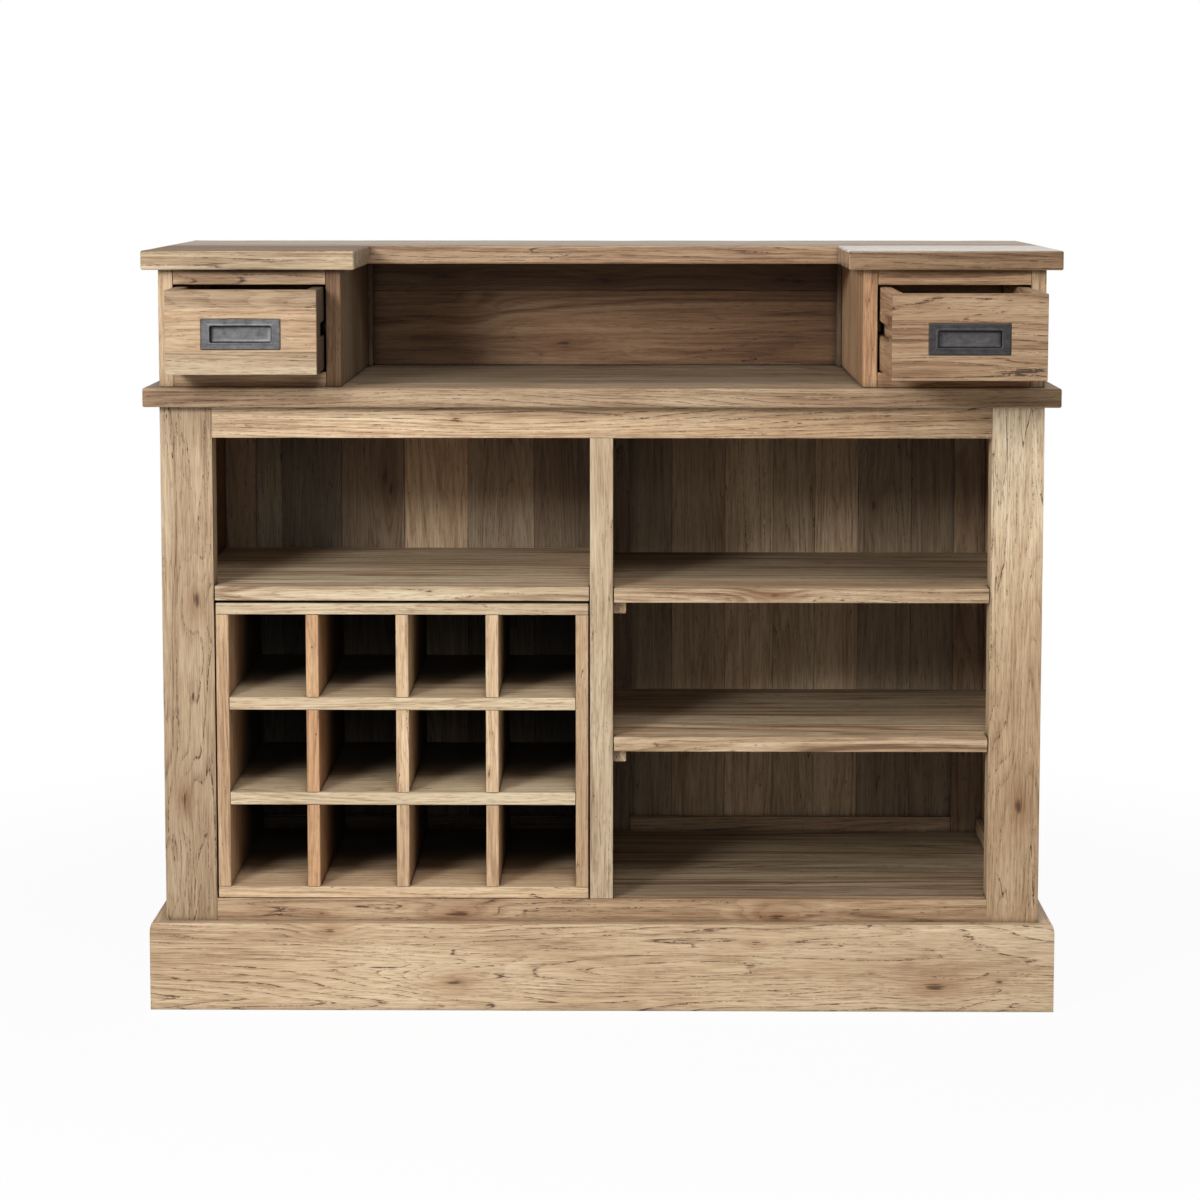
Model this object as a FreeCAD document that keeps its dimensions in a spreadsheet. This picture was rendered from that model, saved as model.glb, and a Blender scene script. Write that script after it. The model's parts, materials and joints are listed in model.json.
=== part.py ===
import FreeCAD, Part
import math
import operator
import os
from types import SimpleNamespace

import Sketcher

# Bar counter in solid reclaimed teak, seen and served from the -Y side.
# The origin is on the floor, in the middle of the carcass. Sizes are in millimetres.

SIZES = {
    # Top, inner counter and overall form
    "top_width": 1400,
    "top_depth": 600,
    "top_thickness": 30,
    "overhang": 23,
    "wing_width": 325,
    "strip_depth": 315,
    "carcass_height": 938,
    "counter_thickness": 30,
    "drawer_box_height": 179,
    # Moulded plinth round the foot
    "plinth_drop": 35,
    "plinth_thickness": 23,
    "plinth_round_height": 16,
    "plinth_round_set": 3,
    # Posts and rails of the carcass frame
    "front_post_width": 80,
    "front_post_depth": 47,
    "rear_post_width": 86,
    "rear_post_depth": 47,
    "front_rail_thickness": 24,
    "front_top_rail_height": 48,
    "front_bottom_rail_height": 82,
    "frame_rail_thickness": 44,
    "frame_top_rail_height": 80,
    "frame_bottom_rail_height": 96,
    "frame_rail_reveal": 24,
    "tenon_length": 25,
    "tenon_shoulder": 9,
    "stile_width": 36,
    "stile_tenon": 15,
    # Planked panels
    "panel_thickness": 15,
    "panel_inset": 19,
    "panel_groove": 8,
    "plank_tongue": 5,
    "partition_thickness": 24,
    # Floor and shelves
    "floor_height": 172,
    "floor_thickness": 18,
    "joist_thickness": 24,
    "joist_spread": 330,
    "shelf_thickness": 23,
    "shelf_gap": 0.8,
    "left_shelf_height": 661,
    "left_shelf_back_gap": 29,
    "upper_shelf_height": 658.5,
    "lower_shelf_height": 426.5,
    "right_shelf_back_gap": 65,
    "cleat_width": 26,
    "cleat_height": 20,
    "cleat_end": 20,
    # Drawer boxes and the niche between them
    "box_board": 23,
    "box_rail_height": 23,
    "upper_back_thickness": 23,
    "niche_lower_board": 126,
    "batten_width": 36,
    "batten_thickness": 8,
    # Drawers and their side runners
    "drawer_gap": 3,
    "drawer_back_gap": 91,
    "drawer_front_thickness": 20,
    "drawer_front_lap": 8,
    "drawer_side_thickness": 18,
    "drawer_back_thickness": 15,
    "drawer_bottom_thickness": 8,
    "drawer_bottom_lift": 8,
    "drawer_bottom_groove": 6,
    "slide_groove_height": 22,
    "slide_groove_depth": 8,
    "slide_groove_stop": 58,
    "runner_height": 20,
    "left_drawer_open": 113,
    "right_drawer_open": 233,
    # Recessed pulls
    "pull_length": 119,
    "pull_height": 46,
    "pull_plate": 2,
    "pull_proud": 1,
    "pull_drop": 3,
    "cup_length": 92,
    "cup_height": 25,
    "cup_depth": 12,
    "cup_wall": 1.5,
    "cup_round": 3,
    "pull_edge_round": 0.8,
    # Bottle rack
    "rack_side_gap": 2,
    "rack_top_gap": 3.5,
    "rack_back_gap": 90,
    "rack_board": 20,
    "rack_cap": 18,
    "rack_housing": 5,
    "rack_housing_stop": 20,
    # Clearance between pieces that fit together, and under the sliding rack
    "fit": 0.3,
}

# Where the boards of a glued or planked surface meet, as shares of its run
SIDE_PLANKS = (0, 0.21, 0.4, 0.62, 0.8, 1)
LEFT_BACK_PLANKS = (0, 0.09, 0.27, 0.46, 0.65, 0.85, 1)
RIGHT_BACK_PLANKS = (0, 0.14, 0.3, 0.445, 0.57, 0.7, 0.86, 1)
PARTITION_PLANKS = (0, 0.22, 0.48, 0.74, 1)
BOX_PLANKS = (0, 0.08, 0.38, 0.7, 1)
FLOOR_BOARDS = (0, 0.317, 0.524, 0.777, 1)
SHELF_BOARDS = (0, 0.25, 0.42, 0.65, 0.83, 1)
COUNTER_BOARDS = (0, 0.19, 0.37, 0.58, 0.78, 1)
STRIP_BOARDS = (0, 0.36, 0.67, 1)
WING_BOARDS = (0, 0.3, 0.65, 1)

RACK_ROWS = 3
RACK_COLUMNS = 4
LEFT, RIGHT = -1, 1

OPERATIONS = {"+": operator.add, "-": operator.sub, "*": operator.mul, "/": operator.truediv}


class Size:
    """A length with its number and the sheet formula that gives it."""

    def __init__(self, value, text):
        self.value = value
        self.text = text

    def __add__(self, other):
        return combine(self, "+", other)

    def __radd__(self, other):
        return combine(other, "+", self)

    def __sub__(self, other):
        return combine(self, "-", other)

    def __rsub__(self, other):
        return combine(other, "-", self)

    def __mul__(self, other):
        return combine(self, "*", other)

    def __rmul__(self, other):
        return combine(other, "*", self)

    def __truediv__(self, other):
        return combine(self, "/", other)

    def __neg__(self):
        return combine(0, "-", self)


def as_size(value):
    return value if isinstance(value, Size) else Size(float(value), f"({float(value)})")


def combine(first, sign, second):
    a, b = as_size(first), as_size(second)
    return Size(OPERATIONS[sign](a.value, b.value), f"({a.text} {sign} {b.text})")


# Document and sheet

doc = FreeCAD.newDocument("bar_counter")
sheet = doc.addObject("Spreadsheet::Sheet", "sizes")
for row, (alias, value) in enumerate(SIZES.items(), start=1):
    sheet.set(f"A{row}", alias)
    sheet.set(f"B{row}", str(value))
    sheet.setAlias(f"B{row}", alias)
doc.recompute()

s = SimpleNamespace(**{alias: Size(float(value), f"sizes.{alias}") for alias, value in SIZES.items()})
nodes = []
corners = {}


# Modelling helpers

def bind(item, prop, size):
    item.setExpression(prop, as_size(size).text)


def place(body, x, y, z, turn=0):
    """Put a body's own origin at a point, turned about the vertical by so many degrees."""
    corners[body.Name] = (x, y, z)
    body.Placement.Rotation = FreeCAD.Rotation(FreeCAD.Vector(0, 0, 1), turn)
    for axis, value in zip("xyz", (x, y, z)):
        bind(body, f"Placement.Base.{axis}", value)


def new_body(label, x, y, z, turn=0):
    body = doc.addObject("PartDesign::Body", label)
    body.Label = label
    place(body, x, y, z, turn)
    return body


def block(body, kind, name, x, y, z):
    """Add a box feature whose (low, high) ranges are given in the part's frame."""
    feature = body.newObject(f"PartDesign::{kind}Box", name)
    for prop, axis, span, corner in zip(("Length", "Width", "Height"), "xyz", (x, y, z), corners[body.Name]):
        bind(feature, prop, as_size(span[1]) - span[0])
        bind(feature, f"Placement.Base.{axis}", as_size(span[0]) - corner)
    return feature


def add(body, name, x, y, z):
    return block(body, "Additive", name, x, y, z)


def cut(body, name, x, y, z):
    return block(body, "Subtractive", name, x, y, z)


def board(label, x, y, z):
    """A piece of rectangular stock."""
    body = new_body(label, x[0], y[0], z[0])
    add(body, "stock", x, y, z)
    return body


def keep(piece):
    """List a piece as a node of its own."""
    nodes.append(piece)
    return piece


def group(label, pieces):
    """Hold pieces of one kind in one node, each still its own solid."""
    holder = doc.addObject("Part::Compound", label)
    holder.Label = label
    holder.Links = pieces
    return keep(holder)


def origin_sketch(body, plane, name):
    sketch = body.newObject("Sketcher::SketchObject", name)
    support = [feature for feature in body.Origin.OriginFeatures if feature.Role == plane][0]
    sketch.AttachmentSupport = [(support, "")]
    sketch.MapMode = "FlatFace"
    return sketch


def pin(sketch, kind, edge, end, value):
    """Hold one end of a sketch edge at a distance from the sketch's origin along one axis."""
    size = as_size(value)
    index = sketch.addConstraint(Sketcher.Constraint(kind, -1, 1, edge, end, size.value))
    sketch.setExpression(f"Constraints[{index}]", size.text)


def pin_point(sketch, edge, end, point):
    for kind, value in zip(("DistanceX", "DistanceY"), point):
        pin(sketch, kind, edge, end, value)


def polygon(sketch, points):
    """Draw a closed outline through points that are tied to the sheet."""
    first = sketch.GeometryCount
    vectors = [FreeCAD.Vector(as_size(a).value, as_size(b).value, 0) for a, b in points]
    for here, there in zip(vectors, vectors[1:] + vectors[:1]):
        sketch.addGeometry(Part.LineSegment(here, there))
    for index in range(len(points)):
        following = (index + 1) % len(points)
        sketch.addConstraint(Sketcher.Constraint("Coincident", first + index, 2, first + following, 1))
        pin_point(sketch, first + index, 1, points[index])


def pad(body, sketch, length, reverse=False):
    feature = body.newObject("PartDesign::Pad", "pad")
    feature.Profile = sketch
    feature.Reversed = reverse
    bind(feature, "Length", length)
    return feature


def ease(body, base, name, radius, chosen):
    """Round the edges of a feature whose extents are chosen."""
    edges = [f"Edge{number}" for number, edge in enumerate(base.Shape.Edges, start=1)
             if chosen(edge.BoundBox)]
    feature = body.newObject("PartDesign::Fillet", name)
    feature.Base = (base, edges)
    bind(feature, "Radius", radius)
    doc.recompute()
    return feature


def across(hand, near, far):
    """X range on one hand, given by its near and far distance from the middle."""
    return (near, far) if hand == RIGHT else (-far, -near)


def by_axis(axis, run, other):
    """Order a range along the run and a range across it as X and Y."""
    return (run, other) if axis == "x" else (other, run)


def widen(span, gap):
    return (span[0] - gap, span[1] + gap)


def pieces_of(span, shares):
    """Split a range where neighbouring boards meet."""
    low, high = span
    joints = [low + (high - low) * share for share in shares]
    return list(zip(joints, joints[1:]))


# Shared planes and levels

top_side = s.top_width / 2
top_back = s.top_depth / 2
side = top_side - s.overhang
back = top_back - s.overhang
front = -back

counter_low = s.carcass_height
counter_top = counter_low + s.counter_thickness
top_low = counter_top + s.drawer_box_height
top_high = top_low + s.top_thickness

front_post_inner = side - s.front_post_width
rear_post_inner = side - s.rear_post_width
front_post_back = front + s.front_post_depth
rear_post_front = back - s.rear_post_depth
front_rail_back = front + s.front_rail_thickness
side_panel = (side - s.panel_inset - s.panel_thickness, side - s.panel_inset)
back_panel = (back - s.panel_inset - s.panel_thickness, back - s.panel_inset)

frame_top_rail = (counter_low - s.frame_top_rail_height, counter_low)
frame_bottom_high = s.floor_height + s.frame_rail_reveal
frame_bottom_rail = (frame_bottom_high - s.frame_bottom_rail_height, frame_bottom_high)
front_top_rail = (counter_low - s.front_top_rail_height, counter_low)
front_bottom_rail = (s.floor_height - s.front_bottom_rail_height, s.floor_height)
plinth_high = s.floor_height - s.plinth_drop
plank_low = frame_bottom_high - s.panel_groove + s.fit
plank_high = frame_top_rail[0] + s.panel_groove - s.fit

front_tenon = (front + s.front_rail_thickness / 3, front + s.front_rail_thickness * 2 / 3)
tongue = s.panel_groove - s.fit

box_inner = top_side - s.wing_width + s.overhang
box_back = back - s.upper_back_thickness
bay_near = box_inner + s.box_board
bay_far = side - s.box_board


# Plinth: four moulded boards, mitred at the corners

def plinth_board(label, length, x, y, turn):
    """Board with its outer face on the local XZ plane and a gently rounded top edge."""
    body = new_body(label, x, y, 0, turn)
    face_high = plinth_high - s.plinth_round_height
    outline = [(0, 0), (0, face_high), (s.plinth_round_set, plinth_high),
               (s.plinth_thickness, plinth_high), (s.plinth_thickness, 0)]
    profile = origin_sketch(body, "YZ_Plane", "profile")
    corner = [FreeCAD.Vector(as_size(a).value, as_size(b).value, 0) for a, b in outline]
    rise, lean = s.plinth_round_height.value, s.plinth_round_set.value
    radius = (rise ** 2 + lean ** 2) / (2 * lean)
    circle = Part.Circle(corner[1] + FreeCAD.Vector(radius, 0, 0), FreeCAD.Vector(0, 0, 1), radius)
    profile.addGeometry(Part.LineSegment(corner[0], corner[1]))
    profile.addGeometry(Part.ArcOfCircle(circle, math.pi - math.asin(rise / radius), math.pi))
    profile.addGeometry(Part.LineSegment(corner[2], corner[3]))
    profile.addGeometry(Part.LineSegment(corner[3], corner[4]))
    profile.addGeometry(Part.LineSegment(corner[4], corner[0]))
    profile.addConstraint(Sketcher.Constraint("Vertical", 0))
    profile.addConstraint(Sketcher.Constraint("Tangent", 0, 2, 1, 2))
    profile.addConstraint(Sketcher.Constraint("Coincident", 1, 1, 2, 1))
    for edge, following in ((2, 3), (3, 4), (4, 0)):
        profile.addConstraint(Sketcher.Constraint("Coincident", edge, 2, following, 1))
    pin(profile, "DistanceY", 0, 2, face_high)
    for edge, point in zip((0, 2, 3, 4), (outline[0], outline[2], outline[3], outline[4])):
        pin_point(profile, edge, 1, point)
    pad(body, profile, length)
    mitres = origin_sketch(body, "XY_Plane", "mitres")
    inset = s.plinth_thickness
    polygon(mitres, [(0, 0), (inset, inset), (0, inset)])
    polygon(mitres, [(length, 0), (length, inset), (length - inset, inset)])
    pocket = body.newObject("PartDesign::Pocket", "mitre_cuts")
    pocket.Profile = mitres
    pocket.Reversed = True
    bind(pocket, "Length", plinth_high)
    return keep(body)


plinth_side = side + s.plinth_thickness
plinth_back = back + s.plinth_thickness
plinth_board("plinth_front", plinth_side * 2, -plinth_side, -plinth_back, 0)
plinth_board("plinth_back", plinth_side * 2, plinth_side, plinth_back, 180)
plinth_board("plinth_left", plinth_back * 2, -plinth_side, plinth_back, -90)
plinth_board("plinth_right", plinth_back * 2, plinth_side, -plinth_back, 90)


# Posts, grooved for the planked panels and mortised for the front rails

def front_post(label, hand):
    post = board(label, across(hand, front_post_inner, side), (front, front_post_back), (0, counter_low))
    panel = across(hand, *widen(side_panel, s.fit))
    groove = (front_post_back - s.panel_groove, front_post_back)
    cut(post, "panel_groove", panel, groove, (frame_bottom_rail[0], counter_low))
    mortise = across(hand, front_post_inner, front_post_inner + s.tenon_length)
    for rail in (front_top_rail, front_bottom_rail):
        height = widen(rail, s.fit - s.tenon_shoulder)
        cut(post, "mortise", mortise, widen(front_tenon, s.fit), height)
    return keep(post)


def rear_post(label, hand):
    post = board(label, across(hand, rear_post_inner, side), (rear_post_front, back), (0, counter_low))
    grooved = (frame_bottom_rail[0], counter_low)
    panel = across(hand, *widen(side_panel, s.fit))
    cut(post, "side_groove", panel, (rear_post_front, rear_post_front + s.panel_groove), grooved)
    inner = across(hand, rear_post_inner, rear_post_inner + s.panel_groove)
    cut(post, "back_groove", inner, widen(back_panel, s.fit), grooved)
    return keep(post)


def rear_post_center():
    half = s.rear_post_width / 2
    post = board("rear_post_center", (-half, half), (rear_post_front, back), (0, counter_low))
    for hand in (LEFT, RIGHT):
        groove = across(hand, half - s.panel_groove, half)
        cut(post, "back_groove", groove, widen(back_panel, s.fit), (frame_bottom_rail[0], counter_low))
    return keep(post)


front_post("front_post_left", LEFT)
front_post("front_post_right", RIGHT)
rear_post("rear_post_left", LEFT)
rear_post("rear_post_right", RIGHT)
rear_post_center()


# Front rails and the stile between them

def front_rail(label, z, stile_socket):
    thickness = (front, front_rail_back)
    rail = board(label, (-front_post_inner, front_post_inner), thickness, z)
    tenon_end = front_post_inner + s.tenon_length - s.fit
    tenon_z = widen(z, -s.tenon_shoulder)
    for hand in (LEFT, RIGHT):
        add(rail, "tenon", across(hand, front_post_inner, tenon_end), front_tenon, tenon_z)
    socket = widen((-s.stile_width / 2, s.stile_width / 2), s.fit - s.tenon_shoulder)
    cut(rail, "stile_mortise", socket, widen(front_tenon, s.fit), stile_socket)
    return keep(rail)


def center_stile():
    low, high = front_bottom_rail[1], front_top_rail[0]
    width = (-s.stile_width / 2, s.stile_width / 2)
    stile = board("center_stile", width, (front, front_rail_back), (low, high))
    for span in ((low - s.stile_tenon + s.fit, low), (high, high + s.stile_tenon - s.fit)):
        add(stile, "tenon", widen(width, -s.tenon_shoulder), front_tenon, span)
    return keep(stile)


stile_foot, stile_head = front_bottom_rail[1], front_top_rail[0]
front_rail("front_top_rail", front_top_rail, (stile_head, stile_head + s.stile_tenon))
front_rail("front_bottom_rail", front_bottom_rail, (stile_foot - s.stile_tenon, stile_foot))
center_stile()


# Rails of the sides and back: stub tongues at the ends, a groove for the planks along one edge

def frame_rail(label, axis, run, thickness, panel, z, groove):
    rail = board(label, *by_axis(axis, run, thickness), z)
    for span in ((run[0] - tongue, run[0]), (run[1], run[1] + tongue)):
        add(rail, "tongue", *by_axis(axis, span, panel), z)
    whole = widen(run, tongue)
    cut(rail, "plank_groove", *by_axis(axis, whole, widen(panel, s.fit)), groove)
    return rail


def rail_levels():
    """Height of each frame rail with the height of its groove."""
    top_groove = (frame_top_rail[0], frame_top_rail[0] + s.panel_groove)
    bottom_groove = (frame_bottom_rail[1] - s.panel_groove, frame_bottom_rail[1])
    return {"top": (frame_top_rail, top_groove), "bottom": (frame_bottom_rail, bottom_groove)}


def side_rails(name, hand):
    thickness = across(hand, side - s.frame_rail_thickness, side)
    panel = across(hand, *side_panel)
    run = (front_post_back, rear_post_front)
    rails = [frame_rail(f"{name}_side_{level}_rail", "y", run, thickness, panel, z, groove)
             for level, (z, groove) in rail_levels().items()]
    group(f"{name}_side_rails", rails)


def rear_rails(level):
    z, groove = rail_levels()[level]
    thickness = (back - s.frame_rail_thickness, back)
    rails = []
    for name, hand in (("left", LEFT), ("right", RIGHT)):
        run = across(hand, s.rear_post_width / 2, rear_post_inner)
        rails.append(frame_rail(f"rear_{level}_rail_{name}", "x", run, thickness, back_panel, z, groove))
    group(f"rear_{level}_rails", rails)


side_rails("left", LEFT)
side_rails("right", RIGHT)
rear_rails("top")
rear_rails("bottom")


# Planked panels, tongued and grooved edge to edge

def plank_outline(axis, width, thickness, first, last):
    """Section of one plank: a groove on its low edge, a tongue on its high edge."""
    low, high = thickness / 3, thickness * 2 / 3
    outline = [(0, 0), (width, 0)]
    if not last:
        tip = width + s.plank_tongue - s.fit
        outline += [(width, low + s.fit), (tip, low + s.fit), (tip, high - s.fit), (width, high - s.fit)]
    outline += [(width, thickness), (0, thickness)]
    if not first:
        outline += [(0, high), (s.plank_tongue, high), (s.plank_tongue, low), (0, low)]
    return outline if axis == "x" else [(across_run, along) for along, across_run in outline]


def planks(label, axis, run, panel, z, shares):
    made = []
    spans = pieces_of(run, shares)
    for number, (low, high) in enumerate(spans, start=1):
        x, y = (low, panel[0]) if axis == "x" else (panel[0], low)
        body = new_body(f"{label}_{number}", x, y, z[0])
        section = origin_sketch(body, "XY_Plane", "section")
        outline = plank_outline(axis, high - low, panel[1] - panel[0], number == 1, number == len(spans))
        polygon(section, outline)
        pad(body, section, z[1] - z[0])
        made.append(body)
    return group(label, made)


plank_z = (plank_low, plank_high)
side_run = (front_post_back - tongue, rear_post_front + tongue)
for name, hand in (("left", LEFT), ("right", RIGHT)):
    planks(f"{name}_side_planks", "y", side_run, across(hand, *side_panel), plank_z, SIDE_PLANKS)
for name, hand, shares in (("left", LEFT, LEFT_BACK_PLANKS), ("right", RIGHT, RIGHT_BACK_PLANKS)):
    run = across(hand, *widen((s.rear_post_width / 2, rear_post_inner), tongue))
    planks(f"back_planks_{name}", "x", run, back_panel, plank_z, shares)

partition = s.partition_thickness / 2
planks("center_partition", "y", (front_rail_back, rear_post_front), (-partition, partition),
       (s.floor_height, counter_low), PARTITION_PLANKS)


# Floor boards on three joists that stand on the ground

def floor_boards():
    half = side - s.frame_rail_thickness
    height = (s.floor_height - s.floor_thickness, s.floor_height)
    boards = []
    for number, span in enumerate(pieces_of((front_rail_back, rear_post_front), FLOOR_BOARDS), start=1):
        boards.append(board(f"floor_board_{number}", (-half, half), span, height))
    for hand in (LEFT, RIGHT):
        beside_post = across(hand, front_post_inner - s.fit, half)
        cut(boards[0], "post_notch", beside_post, (front_rail_back, front_post_back + s.fit), height)
    return group("floor_boards", boards)


def floor_joists():
    height = (0, s.floor_height - s.floor_thickness)
    half = s.joist_thickness / 2
    rail_face = back - s.frame_rail_thickness
    joists = []
    for name, middle, end in (("left", -s.joist_spread, rail_face), ("center", as_size(0), rear_post_front),
                              ("right", s.joist_spread, rail_face)):
        width = (middle - half, middle + half)
        joists.append(board(f"floor_joist_{name}", width, (front_rail_back, end), height))
    return group("floor_joists", joists)


floor_boards()
floor_joists()


# Shelves of edge-glued boards, notched round the front post and the stile, on cleats

def shelf(label, hand, height, end):
    z = (height - s.shelf_thickness, height)
    width = across(hand, partition + s.shelf_gap, side_panel[0] - s.shelf_gap)
    boards = [board(f"{label}_board_{number}", width, span, z)
              for number, span in enumerate(pieces_of((front, end), SHELF_BOARDS), start=1)]
    post_notch = across(hand, front_post_inner - s.shelf_gap, side_panel[0] - s.shelf_gap)
    stile_notch = across(hand, partition + s.shelf_gap, s.stile_width / 2 + s.shelf_gap)
    cut(boards[0], "post_notch", post_notch, (front, front_post_back + s.shelf_gap), z)
    cut(boards[0], "stile_notch", stile_notch, (front, front_rail_back + s.shelf_gap), z)
    return group(label, boards)


def cleat_pair(label, hand, height, end, inner_width):
    z = (height - s.shelf_thickness - s.cleat_height, height - s.shelf_thickness)
    cleat_back = end - s.cleat_end
    inner_x = across(hand, partition, partition + inner_width)
    outer_x = across(hand, side_panel[0] - s.cleat_width, side_panel[0])
    return [board(f"{label}_inner", inner_x, (front_rail_back, cleat_back), z),
            board(f"{label}_outer", outer_x, (front_post_back, cleat_back), z)]


beside_rack = s.stile_width / 2 - partition
left_shelf_end = back_panel[0] - s.left_shelf_back_gap
right_shelf_end = back_panel[0] - s.right_shelf_back_gap
shelves = (("shelf_left", LEFT, s.left_shelf_height, left_shelf_end, beside_rack),
           ("shelf_right_upper", RIGHT, s.upper_shelf_height, right_shelf_end, s.cleat_width),
           ("shelf_right_lower", RIGHT, s.lower_shelf_height, right_shelf_end, s.cleat_width))
cleats = []
for label, hand, height, end, inner_width in shelves:
    shelf(label, hand, height, end)
    cleats += cleat_pair(f"{label}_cleat", hand, height, end, inner_width)
group("shelf_cleats", cleats)


# Inner counter and the U-shaped bar top, glued up from boards that run left to right

def slab(label, x, y, z, shares):
    boards = [board(f"{label}_board_{number}", x, span, z)
              for number, span in enumerate(pieces_of(y, shares), start=1)]
    return group(label, boards)


strip_front = top_back - s.strip_depth
whole_width = (-top_side, top_side)
slab("counter_shelf", whole_width, (-top_back, top_back), (counter_low, counter_top), COUNTER_BOARDS)
slab("top_back_strip", whole_width, (strip_front, top_back), (top_low, top_high), STRIP_BOARDS)
for name, hand in (("left", LEFT), ("right", RIGHT)):
    wing = across(hand, top_side - s.wing_width, top_side)
    slab(f"top_{name}_wing", wing, (-top_back, strip_front), (top_low, top_high), WING_BOARDS)


# Drawer boxes: planked sides, a rail above and below each drawer, runners, and the niche's back

drawer_height = (counter_top + s.box_rail_height + s.drawer_gap, top_low - s.box_rail_height - s.drawer_gap)
drawer_middle = (drawer_height[0] + drawer_height[1]) / 2
slide_groove = (drawer_middle - s.slide_groove_height / 2, drawer_middle + s.slide_groove_height / 2)
runner_z = (slide_groove[1] - s.fit - s.runner_height, slide_groove[1] - s.fit)


def drawer_box(name, hand):
    inner, outer = across(hand, box_inner, bay_near), across(hand, bay_far, side)
    sides_run = (front, box_back)
    planks(f"{name}_box_outer_side", "y", sides_run, outer, (counter_top, top_low), BOX_PLANKS)
    planks(f"{name}_box_inner_side", "y", sides_run, inner, (counter_top, top_low), BOX_PLANKS)
    bay = across(hand, bay_near, bay_far)
    rail_depth = (front, front + s.box_board)
    below = (counter_top, counter_top + s.box_rail_height)
    above = (top_low - s.box_rail_height, top_low)
    group(f"{name}_box_rails", [board(f"{name}_box_bottom_rail", bay, rail_depth, below),
                                board(f"{name}_box_top_rail", bay, rail_depth, above)])
    reach = s.drawer_gap + s.slide_groove_depth - s.fit
    run = (front + s.slide_groove_stop + s.fit, box_back)
    inner_x = across(hand, bay_near, bay_near + reach)
    outer_x = across(hand, bay_far - reach, bay_far)
    group(f"{name}_box_runners", [board(f"{name}_runner_inner", inner_x, run, runner_z),
                                  board(f"{name}_runner_outer", outer_x, run, runner_z)])


drawer_box("left", LEFT)
drawer_box("right", RIGHT)

niche_joint = counter_top + s.niche_lower_board
group("upper_back_boards",
      [board("upper_back_lower", (-side, side), (box_back, back), (counter_top, niche_joint)),
       board("upper_back_upper", (-side, side), (box_back, back), (niche_joint, top_low))])
group("niche_corner_battens",
      [board(f"niche_batten_{name}", across(hand, box_inner - s.batten_thickness, box_inner),
             (box_back - s.batten_width, box_back), (counter_top, top_low))
       for name, hand in (("left", LEFT), ("right", RIGHT))])


# Drawers: lapped front, sides with a stopped groove for the runners, back and let-in bottom

def recessed_pull(label, middle, face, z):
    """Plate let into the drawer front, with a rounded finger cup behind its window."""
    front_face = face - s.pull_proud
    pull = new_body(label, middle, front_face, z)
    half_plate, half_height = s.pull_length / 2, s.pull_height / 2
    half_cup, half_cup_height = s.cup_length / 2, s.cup_height / 2
    plate = origin_sketch(pull, "XZ_Plane", "plate")
    polygon(plate, [(-half_plate, -half_height), (half_plate, -half_height),
                    (half_plate, half_height), (-half_plate, half_height)])
    pad(pull, plate, s.pull_plate, reverse=True)
    outer, outer_height = half_cup + s.cup_wall, half_cup_height + s.cup_wall
    add(pull, "cup", (middle - outer, middle + outer), (front_face + s.pull_plate, front_face + s.cup_depth),
        (z - outer_height, z + outer_height))
    window = origin_sketch(pull, "XZ_Plane", "window")
    polygon(window, [(-half_cup, -half_cup_height), (half_cup, -half_cup_height),
                     (half_cup, half_cup_height), (-half_cup, half_cup_height)])
    hollow = pull.newObject("PartDesign::Pocket", "finger_cup")
    hollow.Profile = window
    bind(hollow, "Length", s.cup_depth - s.cup_wall)
    doc.recompute()
    floor = (s.cup_depth - s.cup_wall).value
    cornered = ease(pull, hollow, "cup_round", s.cup_round,
                    lambda box: abs(box.YMin) < 0.001 and abs(box.YMax - floor) < 0.001)
    edge = half_plate.value - 0.001
    ease(pull, cornered, "plate_round", s.pull_edge_round,
         lambda box: abs(box.YMax) < 0.001 and max(box.XMax, -box.XMin) > edge)
    return keep(pull)


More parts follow.
